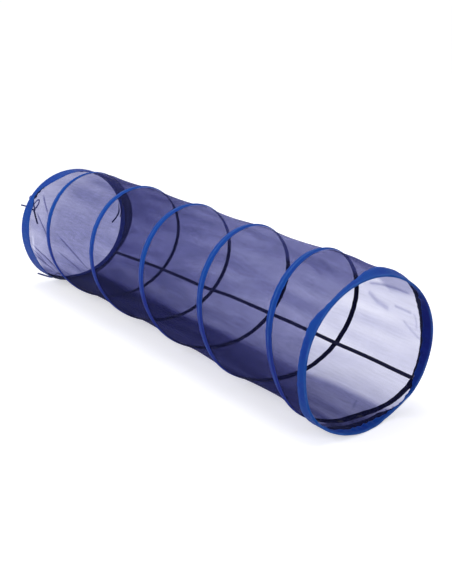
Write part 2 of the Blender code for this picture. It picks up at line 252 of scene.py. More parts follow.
def setCamera():
    # right, up and back are the camera's own axes, from its azimuth and elevation
    azimuth, elevation = math.radians(camera["azimuth"]), math.radians(camera["elevation"])
    right = Vector((math.cos(azimuth), math.sin(azimuth), 0))
    across = math.cos(elevation)
    back = Vector((math.sin(azimuth) * across, -math.cos(azimuth) * across, math.sin(elevation)))
    lens = bpy.data.cameras.new("camera")
    lens.lens, lens.sensor_width, lens.sensor_fit = camera["lens"], 36, "AUTO"
    lens.clip_start, lens.clip_end = 0.05, 100
    made = bpy.data.objects.new("camera", lens)
    turned = Matrix((right, back.cross(right), back)).transposed()
    made.matrix_world = Matrix.Translation(camera["place"]) @ turned.to_4x4()
    bpy.context.scene.collection.objects.link(made)
    bpy.context.scene.camera = made


studio = {
    "floorSize": 60.0, "floorColour": "#EDEDF0", "around": 0.36, "aroundColour": "#F4F5FA",
    "floorGlow": (0.52, 0.74), "glowAt": (1.0, 5.0),     # and how far from the middle, in metres
    # name: place, size in metres, watts
    "lamps": {"overhead": ((-0.1, 0.2, 3.0), 2.6, 46), "front": ((-1.3, -2.9, 1.9), 2.4, 58),
              "mouth": ((3.6, -0.6, 1.7), 1.6, 25)},
}


def seenRay(tree):
    # 1 where the camera, a reflection or glass sees the surface, so that it shows white there
    path = addNode(tree, "LightPath")
    seen, glossy, through = (path.outputs["Is %s Ray" % kind] for kind in ("Camera", "Glossy", "Transmission"))
    either = addNode(tree, "Math", {0: seen, 1: glossy}, operation="ADD")
    return addNode(tree, "Math", {0: either, 1: through}, operation="ADD", use_clamp=True)


def setStudio():
    scene = bpy.context.scene
    scene.view_settings.view_transform = "Standard"
    scene.world = bpy.data.worlds.new("studio")
    tree = emptyTree(scene.world)
    plain = addNode(tree, "Background", {"Color": studio["aroundColour"], "Strength": studio["around"]})
    white = addNode(tree, "Background", {"Color": (1, 1, 1, 1), "Strength": 1.0})
    both = addNode(tree, "MixShader", {0: seenRay(tree), 1: plain, 2: white})
    addNode(tree, "OutputWorld", {"Surface": both})

    # Pale seamless paper: matt, with a glow that lights nothing, so that only the shadow stays grey
    paper, tree = newMaterial("pale studio paper")
    matt = addNode(tree, "BsdfDiffuse", {"Color": studio["floorColour"]})
    far = addNode(tree, "VectorMath", {0: addNode(tree, "TexCoord").outputs["Object"]}, operation="LENGTH")
    (start, end), (low, high) = studio["glowAt"], studio["floorGlow"]
    glowing = addNode(tree, "MapRange", {"Value": far.outputs["Value"], "From Min": start, "From Max": end,
                                         "To Min": low, "To Max": high})
    strength = addNode(tree, "Math", {0: seenRay(tree), 1: glowing}, operation="MULTIPLY")
    glow = addNode(tree, "Emission", {"Color": (1, 1, 1, 1), "Strength": strength})
    addNode(tree, "OutputMaterial", {"Surface": addNode(tree, "AddShader", {0: matt, 1: glow})})
    half = studio["floorSize"] / 2
    mesh = bpy.data.meshes.new("floor")
    mesh.from_pydata([(-half, -half, 0), (half, -half, 0), (half, half, 0), (-half, half, 0)], [], [(0, 1, 2, 3)])
    mesh.materials.append(paper)
    floor = bpy.data.objects.new("floor", mesh)
    scene.collection.objects.link(floor)

    for name, (place, size, watts) in studio["lamps"].items():
        lamp = bpy.data.lights.new(name, "AREA")
        lamp.energy, lamp.size = watts, size
        made = bpy.data.objects.new(name, lamp)
        aim = Vector((0, 0, 0.2)) - Vector(place)
        made.matrix_world = Matrix.Translation(place) @ aim.to_track_quat("-Z", "Y").to_matrix().to_4x4()
        scene.collection.objects.link(made)


setCamera()
setStudio()
print("camera and studio set")

# Ribbon ties, sewn inside the far cuff

ribbons = {
    "width": 0.0065, "thickness": 0.0005, "colour": "#1A2768", "worn": "#30458F",
    "ribPitch": 0.0007,      # grosgrain ribs, drawn twice as wide as they are woven
    "steps": 6, "columns": 7,
    "curl": 0.1,             # how far its edges curl back, of half its width
    "slant": (0.0012, 0.004),    # how far aslant its free end is cut, and over what length
    "loops": {"near_tie_ribbon_1": 0.52, "near_tie_ribbon_2": 0.70},     # share of the strip that is the bow's loop
    # the bow's loop is painted lit, paler with a blue glow, fading out over loopFade metres
    "loopLit": 0.5, "loopFade": 0.02,
    # the directions that a strip turns its face to, at its start and at its free end
    "facing": {"near": (outwards(60), (0.8, -0.5, 0.3)), "far": (outwards(300), (0.9, -0.35, 0.25)),
               "floor": ((0.2, -0.3, 1), (0.45, -0.75, 0.5))},
}
# Route points: x, angle in degrees and depth below the outside, as in the solids, but x, y and z on the floor
tieRoutes = {
    "near_tie_ribbon_1": [
        (-0.893, 60.0, 0.0106), (-0.905, 58.6, 0.0125), (-0.9215, 56.2, 0.0120), (-0.9305, 53.6, 0.0070),
        (-0.9310, 51.3, 0.0075), (-0.9225, 51.4, 0.0140), (-0.9080, 55.0, 0.0185), (-0.8900, 59.5, 0.0205),
        (-0.8770, 61.9, 0.0222), (-0.8800, 63.6, 0.0252), (-0.9000, 63.6, 0.0262), (-0.9350, 63.2, 0.0260),
        (-0.9750, 63.4, 0.0262), (-1.0100, 64.2, 0.0272)],
    "near_tie_ribbon_2": [
        (-0.886, 60.2, 0.0106), (-0.8800, 57.0, 0.0118), (-0.8720, 52.6, 0.0120), (-0.8600, 51.6, 0.0122),
        (-0.8510, 54.6, 0.0132), (-0.8530, 58.8, 0.0145), (-0.8640, 61.4, 0.0152), (-0.8700, 63.2, 0.0170),
        (-0.8640, 66.5, 0.0225), (-0.8560, 71.0, 0.0295), (-0.8420, 77.5, 0.0360)],
    "far_tie_ribbon_1": [
        (-0.8930, 300.0, 0.0106), (-0.8915, 297.4, 0.0135), (-0.8880, 293.6, 0.0200), (-0.8830, 288.8, 0.0265),
        (-0.8790, 283.6, 0.0330), (-0.8770, 279.4, 0.0375), (-0.8765, 275.5, 0.0470), (-0.8765, 271.0, 0.0600),
        (-0.8770, 265.6, 0.0770)],
    "far_tie_ribbon_2": [
        (-0.8780, 300.4, 0.0106), (-0.8720, 297.6, 0.0122), (-0.8650, 293.6, 0.0160), (-0.8630, 289.0, 0.0215),
        (-0.8640, 284.0, 0.0270), (-0.8650, 280.0, 0.0310), (-0.8650, 276.5, 0.0355), (-0.8650, 272.6, 0.0410)],
    "floor_tie_ribbon": [
        (-0.8930, -0.0830, 0.0262), (-0.9060, -0.0850, 0.0265), (-0.9180, -0.0880, 0.0255),
        (-0.9280, -0.0920, 0.0160), (-0.9370, -0.0975, 0.0060), (-0.9480, -0.1030, 0.0036),
        (-0.9700, -0.1100, 0.0034), (-1.0000, -0.1180, 0.0038), (-1.0330, -0.1240, 0.0034)],
}


def smoothLine(points, steps):
    # Catmull-Rom: each stretch is a cubic whose ends take their slope from the points on either side
    p = np.vstack([2 * points[0] - points[1], points, 2 * points[-1] - points[-2]])
    u = (np.arange(steps) / steps)[None, :, None]
    a, b, c, d = p[:-3, None], p[1:-2, None], p[2:-1, None], p[3:, None]
    line = 0.5 * (2 * b + (c - a) * u + (2 * a - 5 * b + 4 * c - d) * u**2 + (3 * b - a - 3 * c + d) * u**3)
    return np.vstack([line.reshape(-1, 3), points[-1:]])


# Painted light: colour and blue glow for a cloth back marked lit, as if light from above came through it
paintedBacklight = {"colour": "#4A56A0", "glow": "#B9C4FF", "strength": 0.3}


def wovenTape(name, colour, worn, ribPitch):
    # Woven polyester tape, cut from a roll: matt and close-ribbed, a little paler where it is rubbed
    made, tree = newMaterial(name)
    cloth = addNode(tree, "UVMap", uv_map="cloth")
    ribs = addNode(tree, "TexWave", {"Vector": cloth, "Scale": waveScale / ribPitch, "Distortion": 0.15},
                   bands_direction="X")
    place = addNode(tree, "TexCoord").outputs["Object"]
    rub = addNode(tree, "TexNoise", {"Vector": place, "Scale": 60.0, "Detail": 4.0})
    share = addNode(tree, "MapRange", {"Value": rub, "From Min": 0.42, "From Max": 0.75, "To Max": 0.55})
    tint = addNode(tree, "Mix", {0: share, 6: colour, 7: worn}, data_type="RGBA")
    # painted light: where the lit attribute marks it, the cloth is painted paler and glows blue, as if light from above
    # came through it
    lit = addNode(tree, "Attribute", attribute_name="lit").outputs["Fac"]
    tint = addNode(tree, "Mix", {0: lit, 6: tint.outputs[2], 7: paintedBacklight["colour"]}, data_type="RGBA")
    glow = addNode(tree, "Math", {0: lit, 1: paintedBacklight["strength"]}, operation="MULTIPLY")
    dim = addNode(tree, "MapRange", {"Value": ribs, "To Min": 0.72, "To Max": 1.0})
    tone = addNode(tree, "Mix", {0: 1.0, 6: tint.outputs[2], 7: dim}, data_type="RGBA", blend_type="MULTIPLY")
    bump = addNode(tree, "Bump", {"Height": ribs, "Strength": 0.5, "Distance": 0.0003})
    shader = addNode(tree, "BsdfPrincipled", {
        "Base Color": tone.outputs[2], "Normal": bump, "Roughness": 0.7, "Specular IOR Level": 0.25,
        "Emission Color": paintedBacklight["glow"], "Emission Strength": glow})
    addNode(tree, "OutputMaterial", {"Surface": shader})
    return made


def ribbonPiece(name, route, startFacing, endFacing):
    # A strip along the route, its width square to the route and to a direction that turns from start to end;
    # its edges curl back on a parabola, and its free end is cut aslant
    line = smoothLine(route, ribbons["steps"])
    run = np.concatenate([[0.0], np.cumsum(np.linalg.norm(np.diff(line, axis=0), axis=1))])
    share = level(np.linspace(0, 1, len(line)))[:, None]
    facing = (1 - share) * np.array(startFacing) + share * np.array(endFacing)
    along = np.gradient(line, axis=0)
    along /= np.linalg.norm(along, axis=1, keepdims=True)
    across = np.cross(along, facing)
    across /= np.linalg.norm(across, axis=1, keepdims=True)
    up = np.cross(across, along)
    v = np.linspace(-1, 1, ribbons["columns"])[None, :, None]
    half = ribbons["width"] / 2
    points = line[:, None] + across[:, None] * v * half + up[:, None] * (1 - v**2) * half * ribbons["curl"]
    slant, slantRun = ribbons["slant"]
    points = points - along[:, None] * (v + 1) * slant * np.clip(1 - (run[-1] - run) / slantRun, 0, 1)[:, None, None]
    cloth = np.stack(np.broadcast_arrays(run[:, None], v[0, :, 0][None] * half), axis=-1)
    loop = ribbons["loops"].get(name, 0) * run[-1]
    # painted light on the bow's loop
    lit = ribbons["loopLit"] * level((loop - run) / ribbons["loopFade"])[:, None]
    piece = addPiece(name + "_cloth", gridMesh(name, points, cloth, values={"lit": lit}), [ribbonTape], "far_end",
                     [name])
    thicken(piece, ribbons["thickness"], offset=0.0, use_even_offset=True)
    return piece, line, run[-1]


def makeTies():
    for name, points in tieRoutes.items():
        place, route = name.split("_")[0], np.array(points)
        if place != "floor":
            route = onSolid(route[:, 0], np.radians(route[:, 1]), route[:, 2])
        piece, line, length = ribbonPiece(name, route, *ribbons["facing"][place])
        print("%s is %.3f m long" % (name, length))


ribbonTape = wovenTape("polyester grosgrain ribbon", ribbons["colour"], ribbons["worn"], ribbons["ribPitch"])
makeTies()

# The mesh tube

net = {
    "thickness": 0.0004, "depth": 0.0047, "end": 0.9085, "rows": 400, "columns": 84,
    "hemColumns": 10, "goreColumns": 74, "leastWidth": 0.0015,
    "waist": 0.007,          # how far it draws in, halfway between two turns
    "ripples": (0.0009, 0.0005),     # long ones along the pull, and finer ones near the tapes
    "seamFlat": 0.03,        # they fade out this near the seam
    "yarn": "#181B3E", "stain": "#CBCDFF",   # the yarn, and what the dye leaves of light that passes its openings
    # powers of the light that passes the wall, for each of its two faces: what the openings let through, and what
    # the stain leaves of the red there; a full stain takes the share stainRed of it
    "veilPower": 0.32, "stainPower": 0.18, "stainRed": 0.4,
    "passes": (0.012, 0.9),  # the least and the most light that passes
    "cell": 0.0026,          # knitted cells, drawn twice as wide as they are
    # share of light that one wall stops, along X: denser top and near side, painted for the shade they lie in, floor,
    # denser still for the painted shadow under the tunnel, and sheer far side, which paints light coming through it;
    # then the angles where the sheer side begins above the floor, at the painted shadow's edge, and ends under the top
    "nearAt": ((-0.9, 0.64), (-0.74, 0.70), (-0.62, 0.79), (-0.4, 0.81), (-0.17, 0.79), (0.0, 0.765), (0.3, 0.75),
               (0.6, 0.750), (0.78, 0.695), (0.9, 0.67)),
    "floorAt": ((-0.9, 0.97), (-0.6, 0.96), (-0.2, 0.92), (0.2, 0.88), (0.5, 0.83), (0.8, 0.78)),
    "sheerBacklitAt": ((-0.83, 0.71), (-0.6, 0.66), (-0.38, 0.61), (-0.2, 0.51), (0.03, 0.40), (0.65, 0.42), (0.9, 0.42)),
    "edgeAt": ((-0.74, 196.0), (0.1, 199.0), (0.60, 200.6), (0.89, 204.0)),
    "topAt": ((0.55, 332), (0.70, 310), (0.76, 298), (0.84, 301), (0.90, 304)),
    # where the near cuff's inner ply ends on the floor, and the net is bunched against it: angle and X
    "hemAt": ((138, 0.905), (165, 0.912), (180, 0.903), (197, 0.902), (212, 0.908)),
}
# Folds that were pressed in while it was packed flat: points of X and angle, width and depth in millimetres, and
# the share of light that the fold stops, in part its doubled net and in part painted shade in the crease
netFolds = [
    ([(-0.846, 45.4), (-0.702, 65.0)], 3.4, 2.5, 0.80),
    ([(-0.818, 64.9), (-0.661, 86.8)], 3.2, 3.0, 0.80),
    ([(-0.840, 98.9), (-0.665, 119.8)], 4.0, 3.0, 0.86),
    ([(-0.607, 78.3), (-0.346, 98.1)], 3.4, 2.5, 0.78),
    ([(-0.598, 94.2), (-0.415, 106.0)], 3.0, 2.0, 0.68),
    ([(-0.846, 112.0), (-0.72, 127.0)], 4.5, 3.0, 0.80),
    ([(-0.850, 104.0), (-0.76, 121.0)], 2.8, 2.0, 0.68),
    # in the mouth, first those at its upper side; their darkness is mostly painted shade
    ([(0.665, 295.3), (0.737, 300.0), (0.798, 302.6), (0.852, 302.3)], 6.0, 1.5, 0.42),
    ([(0.649, 286.8), (0.689, 280.2), (0.742, 277.4)], 11.0, 2.5, 0.34),
    ([(0.762, 282.8), (0.797, 283.0), (0.836, 282.6)], 5.0, 2.0, 0.36),
    ([(0.795, 273.5), (0.833, 267.8), (0.872, 263.0)], 4.0, 2.0, 0.28),
    ([(0.843, 283.0), (0.849, 277.0), (0.852, 270.0)], 3.4, 2.0, 0.24),
    ([(0.640, 24.0), (0.707, 15.6), (0.789, 21.1)], 7.0, 2.5, 0.26),
    ([(0.700, 8.0), (0.808, 13.7)], 7.0, 2.5, 0.24),
    ([(0.806, 188.5), (0.780, 198.5)], 2.6, 1.0, 0.35),
    # where the net is pulled thin beside the far cuff, more light passes
    ([(-0.818, 88.0), (-0.836, 112.0)], 9.0, 0.0, -0.5),
    ([(-0.832, 115.0), (-0.842, 132.0)], 9.0, 0.0, -0.5),
]


def foldsAt(x, angle):
    # Each fold is a Gaussian ridge along a line, by the distance from the line on the flat cloth. It fades at its
    # ends to a share of its height
    depth, shade = np.zeros(x.shape), np.zeros(x.shape)
    radius, left = tube["coilHalfWidth"], 0.15
    for points, width, deep, dark in netFolds:
        ridge = np.zeros(x.shape)
        count = len(points) - 1
        for i in range(count):
            (x0, a0), (x1, a1) = points[i], points[i + 1]
            turned = (angle - math.radians(a0) + math.pi) % (2 * math.pi) - math.pi
            p, s = x - x0, radius * turned
            dp, ds = x1 - x0, radius * math.radians(a1 - a0)
            share = (p * dp + s * ds) / (dp * dp + ds * ds)
            on = np.clip(share, 0, 1)
            away = np.hypot(p - on * dp, s - on * ds)
            fade = level((i + on) * 5) * level((count - i - on) * 4)
            ridge = np.maximum(ridge, np.exp(-(away / (width / 1000)) ** 2) * (left + (1 - left) * fade))
        depth += deep / 1000 * ridge
        shade = 1 - (1 - shade) * (1 - dark * ridge)
    return depth, shade


def wavesAt(x, angle, seed, count, aroundRange, alongRange):
    # A sum of waves over the tube, each with a whole number of periods round it, so that it closes at the seam
    random = np.random.default_rng(seed)
    total = np.zeros(x.shape)
    for _ in range(count):
        periods = int(random.integers(*aroundRange)) * random.choice([-1, 1])
        total += np.cos(periods * angle + random.uniform(*alongRange) * x + random.uniform(0, 2 * math.pi))
    return total / math.sqrt(count)


def wallAt(x, angle):
    # The share of light that the mesh stops: dense from the top over the near side to the floor, where it paints shade
    # and the floor's shadow, and sheer beyond it, where it paints light coming through
    degrees = np.degrees(angle) % 360
    nearShadeDensity = table(x, net["nearAt"])
    # the floor is denser before its middle, towards the mouth, a painted shadow
    floor = table(x, net["floorAt"]) + 0.10 * level((190 - degrees) / 30) * (degrees > 90) * level((x - 0.3) / 0.3)
    dense = nearShadeDensity + (floor - nearShadeDensity) * level((degrees - 95) / 60) * (degrees < 250)
    # so is the top, where the wall is seen aslant
    top = level((45 - np.abs((degrees + 180) % 360 - 180)) / 40)
    dense = dense + (0.04 + 0.05 * level((x - 0.6) / 0.15)) * top
    edge = table(x, net["edgeAt"])
    soft = table(x, ((-0.2, 12.0), (0.9, 7.0)))
    softTop = table(x, ((0.6, 18.0), (0.76, 10.0)))
    sheerBacklit = level((degrees - edge) / soft + 0.5) * level((table(x, net["topAt"]) - degrees) / softTop + 0.5)
    return dense + (table(x, net["sheerBacklitAt"]) - dense) * sheerBacklit, sheerBacklit


def pleatsAndShadow(x, angle):
    # Under the near cuff's floor: a dark stretch of painted shadow, and short black pleats of uneven length where the
    # net gathers along the hem, black in part from painted shade
    degrees = np.degrees(angle) % 360
    comb = 0.5 + 0.5 * np.sin(degrees * 0.72 + 1.3 * np.sin(degrees * 0.37)) * np.cos(degrees * 0.31)
    comb = comb + 0.35 * np.sin(degrees * 2.3 + 1.0)
    pleats = 0.95 * level((x - table(degrees, net["hemAt"]) + 0.006 + 0.013 * comb) / 0.003)
    shadow = 0.72 * level((x - 0.850) / 0.008) * level((199 - degrees) / 16)
    return np.maximum(pleats, shadow) * level((degrees - 134) / 10) * level((212 - degrees) / 8)


def waistAt(x, low, high):
    # A parabola between the borders, or the cuffs' edges, less deep where the bay is narrow
    first, last = np.maximum(low, -cuffEdge), np.minimum(high, cuffEdge)
    width = np.maximum(last - first, 0.0003)
    share = np.clip((x - first) / width, 0, 1)
    bow = 4 * share * (1 - share)
    return net["waist"] * bow * np.minimum(width / tube["pitch"], 1), bow


def netDepth(x, angle, low, high):
    # Waist, plus pressed folds, plus long ripples along the pull and finer ones near the tapes
    drawn, bow = waistAt(x, low, high)
    folds, shade = foldsAt(x, angle)
    slow = wavesAt(x, angle, 3, 14, (9, 26), (-14, 14))
    fine = wavesAt(x, angle, 8, 18, (34, 82), (-30, 30))
    free = np.minimum(bow * 3, 1)
    fromSeam = angle - twisted(x, tube["seamAngle"])
    seamAway = tube["coilHalfWidth"] * np.abs((fromSeam + math.pi) % (2 * math.pi) - math.pi)
    free = free * level(seamAway / net["seamFlat"])
    long, short = net["ripples"]
    ripple = long * slow * free + short * fine * free * (1.2 - bow)
    return net["depth"] + drawn + folds * free + ripple, shade, slow, fine


def netPiece(node, part, bay, ends, columns, body, anchorX):
    # The strip between two turns of the coil, or a turn and an end, from seam to seam: rows at even angles, columns
    # between the borders
    turn = np.linspace(0, 1, 4 * net["rows"] + 1)

    def borders(turn):
        low = np.maximum(coilX(bay - 1 + turn), ends[0]) if bay else np.full(turn.shape, ends[0])
        high = np.minimum(coilX(bay + turn), ends[1]) if bay < tube["turns"] else np.full(turn.shape, ends[1])
        return low, high

    low, high = borders(turn)
    wide = turn[high - low > net["leastWidth"]]
    turn = np.linspace(wide[0], wide[-1], net["rows"] + 1)
    low, high = borders(turn)
    low, high = low[:, None], high[:, None]
    x = low + (high - low) * np.linspace(0, 1, columns + 1)
    angle = twisted(x, angleAt(turn)[:, None])
    depth, shade, slow, fine = netDepth(x, angle, low, high)
    points = onTube(x, angle, depth)
    wall, sheerBacklit = wallAt(x, angle)
    wall = wall * (1 + (0.030 + 0.06 * sheerBacklit) * slow + (0.010 + 0.05 * sheerBacklit) * np.abs(fine))
    # the share of red light that passes the whole wall; blue passes by its power 0.64
    passed = np.clip((1 - wall) * (1 - shade) * (1 - pleatsAndShadow(x, angle)), *net["passes"])
    values = {"veil": 1 - passed**net["veilPower"], "stained": (1 - passed**net["stainPower"]) / net["stainRed"]}
    cloth = np.stack([tube["coilHalfWidth"] * (angle - tube["seamAngle"]), x], axis=-1)
    mesh = gridMesh(node, points, cloth, values=values)
    piece = addPiece(node + part, mesh, [netCloth], body, [node])
    thicken(piece, net["thickness"])
    if anchorX is not None:
        fold(piece)
    wide = (high - low)[:, 0]
    flat = float((wide[1:] + wide[:-1]).sum() / 2 * (lengthRound(turn[1]) - lengthRound(turn[0])))
    print("%s: flat area %.4f m2" % (node + part, flat))
    return piece, flat, float(wide.max())


def knittedNet(name):
    # Warp-knitted polyester net: dull, see-through, its yarn violet-blue, with faint rows of small cells
    made, tree = newMaterial(name)
    cloth = addNode(tree, "UVMap", uv_map="cloth")
    place = addNode(tree, "TexCoord").outputs["Object"]
    cells = addNode(tree, "TexVoronoi", {"Vector": cloth, "Scale": 1 / net["cell"], "Randomness": 0.25},
                    feature="DISTANCE_TO_EDGE")
    grain = addNode(tree, "MapRange", {"Value": cells, "From Min": 0.04, "From Max": 0.32, "To Min": 1.04,
                                       "To Max": 0.985})
    # cloudy patches, then streaks where the net is pulled, 9 by 60 mm along it, and fainter ones across
    along, across = (addNode(tree, "Mapping", {"Vector": cloth, "Scale": scale, "Rotation": (0, 0, turned)})
                     for scale, turned in [((110, 16, 1), 0.2), ((24, 150, 1), -0.4)])
    for inputs, low, high in [({"Vector": place, "Scale": 14.0, "Detail": 5.0, "Roughness": 0.6}, 0.965, 1.035),
                              ({"Vector": along, "Scale": 1.0, "Detail": 4.0}, 0.93, 1.08),
                              ({"Vector": across, "Scale": 1.0, "Detail": 4.0}, 0.97, 1.03)]:
        noise = addNode(tree, "TexNoise", inputs)
        share = addNode(tree, "MapRange", {"Value": noise, "From Min": 0.3, "From Max": 0.7, "To Min": low,
                                           "To Max": high})
        grain = addNode(tree, "Math", {0: grain, 1: share}, operation="MULTIPLY")
    veil, stained = (addNode(tree, "Attribute", attribute_name=kept).outputs["Fac"] for kept in ("veil", "stained"))
    alpha = addNode(tree, "Math", {0: veil, 1: grain}, operation="MULTIPLY", use_clamp=True)
    tint = addNode(tree, "Mix", {0: stained, 6: (1, 1, 1, 1), 7: net["stain"]}, data_type="RGBA")
    opening = addNode(tree, "BsdfTransparent", {"Color": tint.outputs[2]})
    bump = addNode(tree, "Bump", {"Height": cells, "Strength": 0.3, "Distance": 0.0004})
    yarn = addNode(tree, "BsdfPrincipled", {"Base Color": net["yarn"], "Normal": bump,
                                            "Roughness": 0.75, "Specular IOR Level": 0.08})
    addNode(tree, "OutputMaterial", {"Surface": addNode(tree, "MixShader", {0: alpha, 1: opening, 2: yarn})})
    return made


netCloth = knittedNet("knitted polyester net")


def makeNet():
    # Under its cuff a gore goes with the hoop, and the rest of it folds up with the turn beside it
    end, edge, girth = net["end"], cuffEdge, float(lengthRound(1.0))
    for k, middle in enumerate(coilMiddles[:4], 1):
        piece, flat, _ = netPiece("mesh_bay_%d" % k, "_cloth", k, (-end, end), net["columns"], "coil_%d" % k, middle)
    hem, gore = net["hemColumns"], net["goreColumns"]
    for node, part, bay, ends, columns, body, anchorX in [
            ("mesh_far_gore", "_hem", 0, (-end, -edge), hem, "far_end", None),
            ("mesh_far_gore", "_cloth", 0, (-edge, end), gore, "coil_1", coilMiddles[0]),
            ("mesh_near_gore", "_cloth", 5, (-end, edge), gore, "coil_5", coilMiddles[4]),
            ("mesh_near_gore", "_hem", 5, (edge, end), hem, "near_end", None)]:
        piece, flat, widest = netPiece(node, part, bay, ends, columns, body, anchorX)


makeNet()
print("mesh made")

# Casing tape over the wire, and cuffs

nylon = {
    # back is painted near black, the shade that the tape's lower ply and the cuffs' inner ply lie in
    "tape": "#0C489C", "tapeDeep": "#163A96", "pale": "#4A7CC8", "back": "#070722", "thread": "#2C5CB8",
    "backWorn": "#14143E", "backPitch": 0.0011,
    "violet": "#262E86",     # what it turns to in its own shade
    "threadPitch": 0.0011,   # taffeta threads, drawn four times as wide as they are
    "stitch": 0.0042,        # length of one lockstitch and its gap, drawn half as long again
    "stitchShare": 0.72, "stitchHalfWidth": 0.00055,
    "roughness": (0.44, 0.60),
}
tape = {
    "halfWidth": 0.014, "channel": 0.0052, "edgeDepth": 0.0036, "backDepth": 0.0046, "rows": 320, "columns": 16,
    "turnedUnder": 0.0080,   # how much narrower it is on the far side
    "tuck": (0.006, 0.004, 0.0014),      # how far it runs under a cuff, over what length it dips there, and how deep
    "leastWidth": 0.0012, "stitchLine": 0.0116, "wobble": 0.0006, "pucker": 0.00035,
    # from litFrom on, each turn's back is painted lit, as if light came through
    "litFrom": (300, 304, 284, 288, 300),    # the angle on each turn from which light comes through
}
cuff = {
    "foldRun": 0.0036, "innerDepth": 0.0073, "thickness": 0.0008, "rows": 560, "foldColumns": 9, "plyColumns": 13,
    "stitches": (0.003, 0.0025),     # from the outer and the inner ply's edge
    "wobble": (0.0007, 0.0009), "drawnIn": 0.0006, "puff": (0.0005, 0.0006, 0.0016),
}


def taffeta(name):
    # Nylon taffeta, woven, dyed and calendered: a close plain weave with a soft shine, paler on worn folds
    made, tree = newMaterial(name)
    cloth = addNode(tree, "UVMap", uv_map="cloth")
    place = addNode(tree, "TexCoord").outputs["Object"]
    threads = {"Vector": cloth, "Scale": waveScale / nylon["threadPitch"]}
    warp, weft = (addNode(tree, "TexWave", threads, bands_direction=axis) for axis in "XY")
    weave = addNode(tree, "Math", {0: warp, 1: weft}, operation="MULTIPLY")
    # a stitch shows where the distance from the stitch line is small, and where its place along the line is in a dash
    split = addNode(tree, "SeparateXYZ", {0: cloth})
    off, shaded, worn = (addNode(tree, "Attribute", attribute_name=kept).outputs["Fac"]
                         for kept in ("stitch", "shaded", "worn"))
    off = addNode(tree, "Math", {0: off}, operation="ABSOLUTE")
    line = addNode(tree, "Math", {0: off, 1: nylon["stitchHalfWidth"]}, operation="LESS_THAN")
    run = addNode(tree, "Math", {0: split.outputs["X"], 1: nylon["stitch"]}, operation="MODULO")
    run = addNode(tree, "Math", {0: run}, operation="ABSOLUTE")
    dash = addNode(tree, "Math", {0: run, 1: nylon["stitch"] * nylon["stitchShare"]}, operation="LESS_THAN")
    stitches = addNode(tree, "Math", {0: line, 1: dash}, operation="MULTIPLY")
    cloud = addNode(tree, "TexNoise", {"Vector": place, "Scale": 22.0, "Detail": 6.0, "Roughness": 0.62})
    share = addNode(tree, "MapRange", {"Value": cloud, "From Min": 0.3, "From Max": 0.7})
    tint = addNode(tree, "Mix", {0: share, 6: nylon["tape"], 7: nylon["tapeDeep"]}, data_type="RGBA")
    tint = addNode(tree, "Mix", {0: shaded, 6: tint.outputs[2], 7: nylon["violet"]}, data_type="RGBA")
    faded = addNode(tree, "Math", {0: worn, 1: share}, operation="MULTIPLY")
    faded = addNode(tree, "Math", {0: faded, 1: 0.6}, operation="MULTIPLY")     # at most 0.6 of the pale colour
    rubbed = addNode(tree, "Mix", {0: faded, 6: tint.outputs[2], 7: nylon["pale"]}, data_type="RGBA")
    dim = addNode(tree, "MapRange", {"Value": weave, "To Min": 0.88, "To Max": 1.06})
    tone = addNode(tree, "Mix", {0: 1.0, 6: rubbed.outputs[2], 7: dim}, data_type="RGBA", blend_type="MULTIPLY")
    sewn = addNode(tree, "Mix", {0: stitches, 6: tone.outputs[2], 7: nylon["thread"]}, data_type="RGBA")
    raised = addNode(tree, "Math", {0: stitches, 1: 2.0}, operation="MULTIPLY")
    height = addNode(tree, "Math", {0: weave, 1: raised}, operation="ADD")
    bump = addNode(tree, "Bump", {"Height": height, "Strength": 0.45, "Distance": 0.0003})
    low, high = nylon["roughness"]
    gloss = addNode(tree, "MapRange", {"Value": cloud, "To Min": low, "To Max": high})
    shader = addNode(tree, "BsdfPrincipled", {"Base Color": sewn.outputs[2], "Normal": bump, "Roughness": gloss,
                                              "Specular IOR Level": 0.05})
    addNode(tree, "OutputMaterial", {"Surface": shader})
    return made


royalNylon = taffeta("woven nylon taffeta")
# Painted shade: the back is near black for the shade it lies in, with painted light where the lit attribute marks it
nylonBack = wovenTape("unlit back of nylon taffeta", nylon["back"], nylon["backWorn"], nylon["backPitch"])

